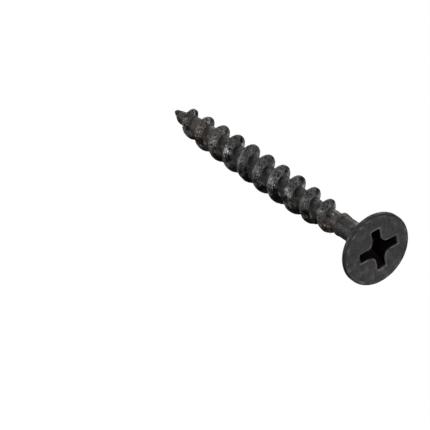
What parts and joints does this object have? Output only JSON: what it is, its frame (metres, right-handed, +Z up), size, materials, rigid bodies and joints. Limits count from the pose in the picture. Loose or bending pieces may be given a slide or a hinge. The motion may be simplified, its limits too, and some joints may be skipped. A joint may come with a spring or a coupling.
{
  "type": "wood screw",
  "caption": "Black phosphated wood screw with a bugle head, cross recess and sharp coarse single-start thread, for fixing board or timber to wood.",
  "frame": {"origin": "centre of the head's flat face, on the screw's axis", "axes": "+X along the screw's axis, out of the head and away from the point; +Z is up when the screw lies on its side"},
  "size_m": [0.038, 0.008, 0.008],
  "materials": {
    "phosphate_head": "matt black phosphate on steel, blue-grey on the flat face",
    "phosphate_shank": "matt black phosphate on rolled steel, faintly brown, worn bright on the thread crests"
  },
  "bodies": {
    "root": {"bugle_head": "phosphate_head", "smooth_neck": "phosphate_shank", "threaded_shank": "phosphate_shank", "gimlet_point": "phosphate_shank"}
  },
  "joints": []
}
